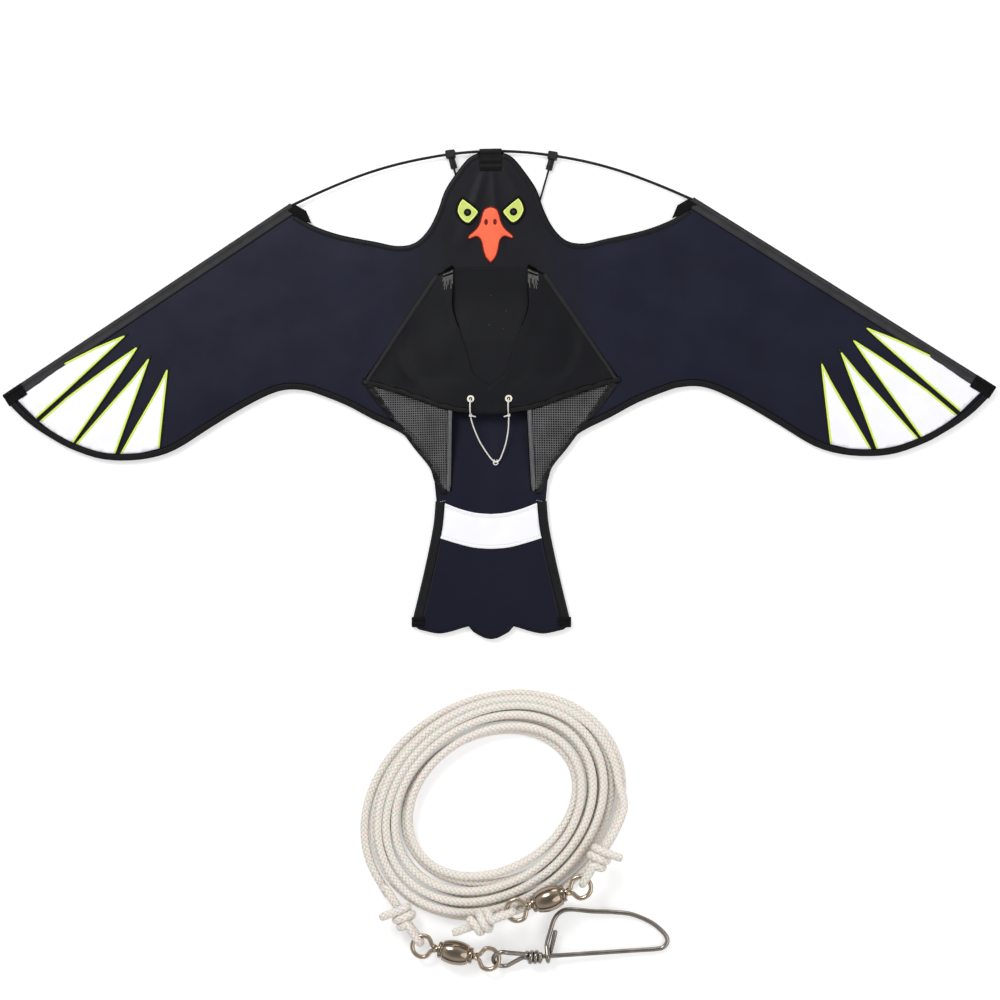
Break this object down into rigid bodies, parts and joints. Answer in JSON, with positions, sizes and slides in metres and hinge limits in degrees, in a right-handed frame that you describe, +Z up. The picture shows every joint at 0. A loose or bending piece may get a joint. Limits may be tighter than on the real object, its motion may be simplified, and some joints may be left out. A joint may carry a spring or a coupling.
{
  "type": "bird scarer kite",
  "caption": "Hawk-shaped bird scarer kite spread on its back, with bowed spar, crossed struts, belly keel with bridle, and a coiled cord with barrel swivels and a wire snap.",
  "frame": {"origin": "middle of the kite's outline on the floor that it lies on, the line set left out", "axes": "+Z up from the floor, out of the kite's belly; +Y toward the head; +X toward the right wing in the picture"},
  "size_m": [1.201, 0.9866, 0.0494],
  "materials": {
    "satin": "satin weave, near black navy",
    "binding": "black woven tape",
    "white_cloth": "white satin",
    "keel_cloth": "charcoal cloth",
    "mesh": "fine mesh",
    "light_strip": "light grey tape",
    "eye_yellow": "yellow green cloth",
    "beak_orange": "orange cloth",
    "rod": "black fibre rod",
    "tee_rubber": "black moulded rubber",
    "nickel": "dark nickel wire",
    "cream_cord": "cream cord",
    "line_cord": "braided nylon cord"
  },
  "bodies": {
    "kite": {"spar_left": "rod", "spar_right": "rod", "spar_ferrule": "nickel", "spar_tip_cap_left": "tee_rubber", "spar_tip_cap_right": "tee_rubber", "strut_left": "rod", "strut_right": "rod", "strut_cap_left": "tee_rubber", "strut_cap_right": "tee_rubber", "tee_left": "tee_rubber", "tee_right": "tee_rubber", "sail": "satin", "wing_sleeve_left": "binding", "wing_sleeve_right": "binding", "wing_tip_pocket_left": "binding", "wing_tip_pocket_right": "binding", "tail_sleeve_left": "binding", "tail_sleeve_right": "binding", "tail_pocket_left": "binding", "tail_pocket_right": "binding", "head_tab": "binding", "tail_band": "white_cloth", "feather_left_1": "white_cloth", "feather_left_2": "white_cloth", "feather_left_3": "white_cloth", "feather_left_4": "white_cloth", "feather_right_1": "white_cloth", "feather_right_2": "white_cloth", "feather_right_3": "white_cloth", "feather_right_4": "white_cloth", "eye_left": "eye_yellow", "eye_right": "eye_yellow", "beak": "beak_orange", "keel": "keel_cloth", "mesh_left": "mesh", "mesh_right": "mesh", "strip_left": "light_strip", "strip_right": "light_strip", "keel_tape_left": "light_strip", "keel_tape_right": "light_strip", "eyelet_left": "nickel", "eyelet_right": "nickel"},
    "bridle": {"bridle_tie_left": "cream_cord", "bridle_tie_right": "cream_cord", "bridle_cord": "cream_cord", "bridle_loop": "cream_cord"},
    "line_set": {"line_coil": "line_cord", "line_knot_1": "line_cord", "line_knot_2": "line_cord", "line_knot_end": "line_cord", "swivel_1_eye_left": "nickel", "swivel_1_eye_right": "nickel", "swivel_2_eye_left": "nickel"},
    "swivel_1_turning": {"swivel_1_barrel": "nickel"},
    "swivel_2_turning": {"swivel_2_barrel": "nickel"},
    "swivel_2_free_eye": {"swivel_2_eye_right": "nickel"},
    "snap_link": {"snap": "nickel"}
  },
  "joints": [
    {"name": "bridle_swing", "type": "hinge", "parent": "kite", "child": "bridle", "pos_m": [0, -0.01766, 0.02185], "axis": [1, 0, 0], "range_deg": [-150, 0]},
    {"name": "line_set_lift", "type": "slide", "parent": "kite", "child": "line_set", "axis": [0, 0, 1], "range_m": [0, 0.3]},
    {"name": "swivel_1_spin", "type": "hinge", "parent": "line_set", "child": "swivel_1_turning", "pos_m": [0.07036, -0.60169, 0.0344], "axis": [0.9397, 0.342, 0], "continuous": true},
    {"name": "swivel_2_spin", "type": "hinge", "parent": "line_set", "child": "swivel_2_turning", "pos_m": [-0.04231, -0.66891, 0.0151], "axis": [0.9848, -0.1736, 0], "continuous": true},
    {"name": "swivel_2_eye_spin", "type": "hinge", "parent": "swivel_2_turning", "child": "swivel_2_free_eye", "pos_m": [-0.04231, -0.66891, 0.0151], "axis": [0.9848, -0.1736, 0], "continuous": true},
    {"name": "snap_swing", "type": "hinge", "parent": "swivel_2_free_eye", "child": "snap_link", "pos_m": [-0.00006, -0.67636, 0.0151], "axis": [0, 0, 1], "range_deg": [-60, 0]}
  ]
}
